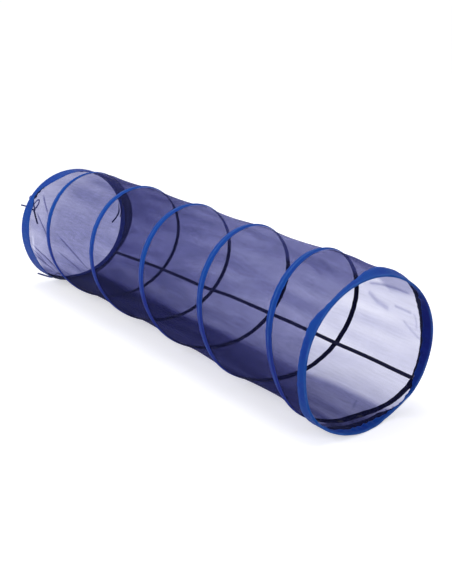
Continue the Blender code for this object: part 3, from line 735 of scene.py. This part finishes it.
# Where each cuff's plies end and where it folds: angle in degrees, then how far from the tunnel's middle
cuffLines = {
    "nearOuter": [(0, 0.877), (13, 0.892), (26, 0.897), (36, 0.899), (44, 0.895), (50, 0.886), (57, 0.880),
                  (69, 0.884), (85, 0.884), (109, 0.880), (122, 0.872), (150, 0.868), (180, 0.872), (198, 0.874),
                  (206, 0.893), (216, 0.901), (226, 0.896), (234, 0.876), (249, 0.872), (257, 0.868), (276, 0.858),
                  (291, 0.856), (305, 0.862), (318, 0.862), (347, 0.863)],
    "nearInner": [(0, 0.898), (26, 0.904), (44, 0.903), (60, 0.899), (120, 0.897), (140, 0.905), (158, 0.912),
                  (174, 0.906), (185, 0.900), (196, 0.902), (206, 0.904), (218, 0.905), (228, 0.901), (237, 0.888),
                  (246, 0.886), (262, 0.880), (273, 0.876), (285, 0.877), (297, 0.886), (310, 0.899), (335, 0.901)],
    "nearFold": [(0, 0.915), (120, 0.915), (140, 0.929), (155, 0.939), (165, 0.940), (174, 0.937), (182, 0.931),
                 (188, 0.925), (196, 0.916), (206, 0.911), (216, 0.910), (228, 0.913), (240, 0.915)],
    "farOuter": [(0, 0.850), (21, 0.842), (27, 0.848), (34, 0.860), (41, 0.877), (46, 0.885), (51, 0.885),
                 (62, 0.855), (74, 0.849), (87, 0.841), (99, 0.840), (105, 0.837), (111, 0.829), (120, 0.824),
                 (129, 0.822), (139, 0.830), (150, 0.852), (165, 0.866), (200, 0.868), (225, 0.874), (235, 0.874),
                 (246, 0.862), (255, 0.852), (264, 0.842), (276, 0.830), (288, 0.823), (298, 0.821), (320, 0.840)],
    "farInner": [(0, 0.886), (90, 0.884), (180, 0.886), (240, 0.883), (300, 0.887)],
    "farFold": [(0, 0.915), (180, 0.915), (228, 0.918), (262, 0.925), (300, 0.918)],
}


def lineAt(angle, pairs):
    # The pairs joined by level-ended curves, closing on themselves
    at, value = np.array(pairs + [(pairs[0][0] + 360, pairs[0][1])], float).T
    degrees = np.degrees(angle) % 360
    i = np.clip(np.searchsorted(at, degrees, side="right") - 1, 0, len(at) - 2)
    share = (degrees - at[i]) / (at[i + 1] - at[i])
    return value[i] + (value[i + 1] - value[i]) * (0.5 * share + 0.5 * level(share))


def tapePiece(number):
    # A sewn channel: flat flanges on the mesh, and between them a rise over the wire, half of an ellipse and half of
    # a Gaussian. Near a cuff the strip is cut a little beyond the cuff's edge, under it.
    turn = number - 1 + np.linspace(0, 1, tape["rows"] + 1)
    x0 = coilX(turn)
    stretch = math.hypot(1.0, tube["pitch"] / (2 * math.pi * tube["coilHalfWidth"]))
    half = tape["halfWidth"] * stretch
    under, dip, sunk = tape["tuck"]
    wobble = tape["wobble"] * wavesAt(x0, angleAt(turn), 40 + number, 8, (12, 60), (0, 1))
    farEdge, nearEdge = (lineAt(angleAt(turn), cuffLines[line]) for line in ("farOuter", "nearOuter"))
    degrees = np.degrees(angleAt(turn)) % 360
    farSide = level((degrees - 186) / 20) * level((352 - degrees) / 20)     # there one flange is turned under
    low = np.maximum(x0 - half + wobble + tape["turnedUnder"] * farSide, -farEdge - under)
    high = np.minimum(x0 + half + wobble, nearEdge + under)
    keep = high - low > tape["leastWidth"]
    turn, x0, low, high, farEdge, nearEdge = (part[keep] for part in (turn, x0, low, high, farEdge, nearEdge))
    x = low[:, None] + (high - low)[:, None] * np.linspace(0, 1, tape["columns"] + 1)
    v = (x - x0[:, None]) / stretch
    lift = 0.5 * np.sqrt(np.clip(1 - (v / tape["channel"]) ** 2, 0, 1))
    lift += 0.5 * np.exp(-(v / (0.75 * tape["channel"])) ** 2)
    angle = twisted(x, angleAt(turn)[:, None])
    pucker = tape["pucker"] * wavesAt(x, angle, 50 + number, 10, (70, 150), (-40, 40)) * (1 - lift)
    depth = tape["edgeDepth"] * (1 - lift) + pucker
    tucked = np.maximum(level((x - nearEdge[:, None] + dip) / dip), level((-x - farEdge[:, None] + dip) / dip))
    depth = depth + np.maximum(sunk - depth, 0) * tucked
    # the lower ply lies flat on the mesh, so the section is closed, the wire inside it
    ring = [np.concatenate([upper, lower[:, ::-1]], axis=1)[::-1].T for upper, lower in (
        (x, x), (angle, angle), (depth, np.full(x.shape, tape["backDepth"])), (v, v), (lift**2, np.zeros(x.shape)))]
    x, angle, depth, v, worn = ring
    degrees = np.degrees(angle) % 360
    cloth = np.stack([tube["coilHalfWidth"] * (angle - tube["seamAngle"]), v], axis=-1)
    name = "casing_turn_%d" % number
    # painted light on the back beyond litFrom, and painted shade, violet, on the near side and underneath
    values = {"stitch": np.abs(v) - tape["stitchLine"], "worn": worn,
              "lit": level((degrees - tape["litFrom"][number - 1]) / 10 + 0.5),
              "shaded": level((degrees - 55) / 50) * level((250 - degrees) / 60)}
    cloth = np.concatenate([cloth, cloth[:1]])
    mesh = gridMesh(name, onTube(x, angle, depth), cloth, closed=True, values=values, capped=True)
    lower = np.zeros(len(mesh.polygons), np.int32)
    rows, columns = x.shape
    lower[(rows // 2 - 1) * (columns - 1):rows * (columns - 1)] = 1
    piece = addPiece(name + "_tape", mesh, [royalNylon, nylonBack], "coil_%d" % number, [name])
    mesh.polygons.foreach_set("material_index", lower)
    fold(piece)


def cuffPiece(end, side, seed):
    # A hem round the end hoop. The profile goes from the outer ply's edge over the rounded fold, half a sine, to the
    # inner ply's edge; a Gaussian draws the outer ply in at its stitches, and waves puff out both plies.
    name = end + "_cuff"
    angle = (tube["seamAngle"] + np.linspace(0, 2 * math.pi, cuff["rows"], endpoint=False))[:, None]
    outer, inner, folded = (lineAt(angle, cuffLines[end + line]) for line in ("Outer", "Inner", "Fold"))
    outer = outer + cuff["wobble"][0] * wavesAt(angle, angle, seed, 12, (30, 90), (0, 1))
    inner = inner + cuff["wobble"][1] * wavesAt(angle, angle, seed + 1, 12, (30, 110), (0, 1))
    run, deep = cuff["foldRun"], cuff["innerDepth"]
    bend = np.linspace(0, math.pi, cuff["foldColumns"])[None, :]
    s = np.linspace(0, 1, cuff["plyColumns"])[None, :]
    foldStart = folded - run
    flat = outer + (foldStart - outer) * s
    back = foldStart + (inner - foldStart) * s
    x = np.concatenate([flat[:, :-1], foldStart + run * np.sin(bend), back[:, 1:]], axis=1)
    outerStitch, innerStitch = cuff["stitches"]
    away = flat - outer
    pull = np.exp(-((away - outerStitch) / 0.004) ** 2)
    still, outerPuff, innerPuff = cuff["puff"]
    puff = wavesAt(flat, np.broadcast_to(angle, flat.shape), seed + 2, 12, (24, 80), (-30, 30))
    swell = (still + outerPuff * puff) * (1 - pull) * np.clip(away / 0.01, 0, 1) * (1 - s)
    puff = wavesAt(back, np.broadcast_to(angle, back.shape), seed + 3, 12, (20, 70), (-30, 30))
    inDepth = deep + innerPuff * (0.6 + puff.clip(-1, 2)) * level(s * 1.2)
    bendDepth = deep * (1 - np.cos(bend)) / 2 * np.ones_like(angle)
    depth = np.concatenate([(cuff["drawnIn"] * pull - swell)[:, :-1], bendDepth, inDepth[:, 1:]], axis=1)
    steps = np.hypot(np.diff(x, axis=1), np.diff(depth, axis=1))
    away = np.concatenate([x[:, :1] * 0, np.cumsum(steps, axis=1)], axis=1)
    total = away[:, -1:]
    stitch = np.where(away < total / 2, away - outerStitch, total - away - innerStitch)
    worn = np.exp(-((x - foldStart - run + 0.001) / 0.0035) ** 2)
    turns = tube["coilHalfWidth"] * np.linspace(0, 2 * math.pi, cuff["rows"] + 1)[:, None]
    cloth = np.stack(np.broadcast_arrays(turns, np.concatenate([away, away[:1]])), axis=-1)
    points = onTube(side * x, np.broadcast_to(angle, x.shape), depth)
    degrees = np.degrees(angle) % 360
    # painted shade turns part of each cuff violet, and painted light makes its lining paler with a blue glow
    if side > 0:
        shaded, lit = 0.85 * level((degrees - 215) / 45) * level((335 - degrees) / 40), 0.08
    else:
        shaded, lit = 0.5 * level((degrees - 100) / 60), 0.2 + 1.3 * level((degrees - 285) / 35)
        points, cloth, stitch, worn = points[:, ::-1], cloth[:, ::-1], stitch[:, ::-1], worn[:, ::-1]
    values = {"stitch": stitch, "worn": worn, "shaded": shaded, "lit": lit}
    mesh = gridMesh(name, points, cloth, closed=True, values=values)
    piece = addPiece(name + "_cloth", mesh, [royalNylon, nylonBack], end + "_end", [name])
    thicken(piece, cuff["thickness"], material_offset=1)


for number in range(1, 6):
    tapePiece(number)
cuffPiece("near", 1, 70)
cuffPiece("far", -1, 80)
print("tape and cuffs made")

# Seam binding

binding = {
    # colour is painted near black, the shade that the tape lies in inside the tunnel
    "halfWidth": 0.0065, "thickness": 0.0008, "colour": "#0D0E30", "worn": "#1C1E4C", "ribPitch": 0.0008,
    "columns": 60, "rows": 6, "end": 0.8847, "offNet": 0.0004, "swell": 0.0003,
}
bindingTape = wovenTape("polyester twill binding", binding["colour"], binding["worn"], binding["ribPitch"])


def bindingPiece(number):
    # A flat tape inside the seam, from one turn of the wire to the next: it follows the mesh's draw-in
    low = np.maximum(coilX([number - 1]), -binding["end"])
    high = np.minimum(coilX([number]), binding["end"])
    share = np.linspace(0, 1, binding["columns"] + 1)
    x, v = np.broadcast_arrays(low + (high - low) * share, np.linspace(-1, 1, binding["rows"] + 1)[:, None])
    width, _ = halfSizes(x)
    angle = twisted(x, tube["seamAngle"]) + v * binding["halfWidth"] / width
    drawn, _ = waistAt(x, low, high)
    depth = net["depth"] + net["thickness"] + binding["offNet"] + drawn + binding["swell"] * (1 - v**2)
    cloth = np.stack([x, v * binding["halfWidth"]], axis=-1)
    name = "seam_binding_%d" % number
    mesh = gridMesh(name, onTube(x, angle, depth), cloth)
    piece = addPiece(name + "_tape", mesh, [bindingTape], "coil_%d" % number, [name])
    thicken(piece, binding["thickness"])
    fold(piece)


for number in range(1, 6):
    bindingPiece(number)
print("seam binding made")

# Spring wire and ferrules

wire = {"radius": 0.00125, "depth": 0.00290, "perTurn": 110, "sides": 10, "lap": 0.018, "anchorX": -0.870}
ferrule = {
    "fromSeam": 0.0095, "halfTurns": 0.0066, "beside": 0.0018, "radius": 0.0040, "flat": 0.52, "rings": 25,
    "sides": 20, "pinches": (-0.5, 0.0, 0.5), "pinchWidth": 0.12, "pinch": 0.06,
}
steel = {"colour": "#B9BBC0", "roughness": (0.22, 0.47)}


def drawnSteel(name):
    # Spring steel, cold drawn: bright, with fine lines along it
    made, tree = newMaterial(name)
    place = addNode(tree, "TexCoord").outputs["Object"]
    lines = addNode(tree, "TexNoise", {"Vector": place, "Scale": 900.0, "Detail": 3.0})
    low, high = steel["roughness"]
    gloss = addNode(tree, "MapRange", {"Value": lines, "To Min": low, "To Max": high})
    shader = addNode(tree, "BsdfPrincipled", {"Base Color": steel["colour"], "Metallic": 1.0, "Roughness": gloss})
    addNode(tree, "OutputMaterial", {"Surface": shader})
    return made


springSteel = drawnSteel("cold drawn spring steel")


def tubeMesh(name, line, radius, sides, flat=1.0):
    # Rings square to a line: each point is centre + r (flat cos a, sin a) on two axes square to the line
    along = np.gradient(line, axis=0)
    along /= np.linalg.norm(along, axis=1, keepdims=True)
    out = np.cross(along, np.array([1.0, 0.0, 0.0]))
    out /= np.linalg.norm(out, axis=1, keepdims=True)
    a = np.linspace(0, 2 * math.pi, sides, endpoint=False)[:, None, None]
    points = line + radius * (out * np.cos(a) * flat + np.cross(along, out) * np.sin(a))
    return gridMesh(name, points, closed=True, capped=True)


def wireLine(turn):
    return onTube(coilX(turn), twisted(coilX(turn), angleAt(turn)), wire["depth"])


def wirePiece(name, first, last, body):
    line = wireLine(np.append(np.arange(first, last - 0.001, 1 / wire["perTurn"]), last))
    mesh = tubeMesh(name, line, wire["radius"], wire["sides"])
    return addPiece(name, mesh, [springSteel], body, ["spring_wire"])


def makeWire():
    # One wire: its far hoop and coil close up as it collapses, and its near hoop goes with the near cuff
    coil = wirePiece("spring_wire_coil", -1 - wire["lap"], tube["turns"], "far_end")
    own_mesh(coil)
    wirePiece("spring_wire_near_hoop", tube["turns"], tube["turns"] + 1 + wire["lap"], "near_end")


def makeFerrule(end, side):
    # A crimped sleeve over both runs of the hoop: a flattened tube, pinched three times
    seam = 0.0 if side < 0 else tube["turns"]
    share = np.linspace(-1, 1, ferrule["rings"])
    line = wireLine(seam + side * ferrule["fromSeam"] + ferrule["halfTurns"] * share)
    line[:, 0] += side * ferrule["beside"]
    pinched = sum(np.exp(-((share - at) / ferrule["pinchWidth"]) ** 2) for at in ferrule["pinches"])
    radius = ferrule["radius"] * (1 - ferrule["pinch"] * pinched)[:, None]
    name = end + "_ferrule"
    mesh = tubeMesh(name, line, radius, ferrule["sides"], flat=ferrule["flat"])
    addPiece(name + "_steel", mesh, [springSteel], end + "_end", [name])


makeWire()
makeFerrule("far", -1)
makeFerrule("near", 1)
print("wire made")
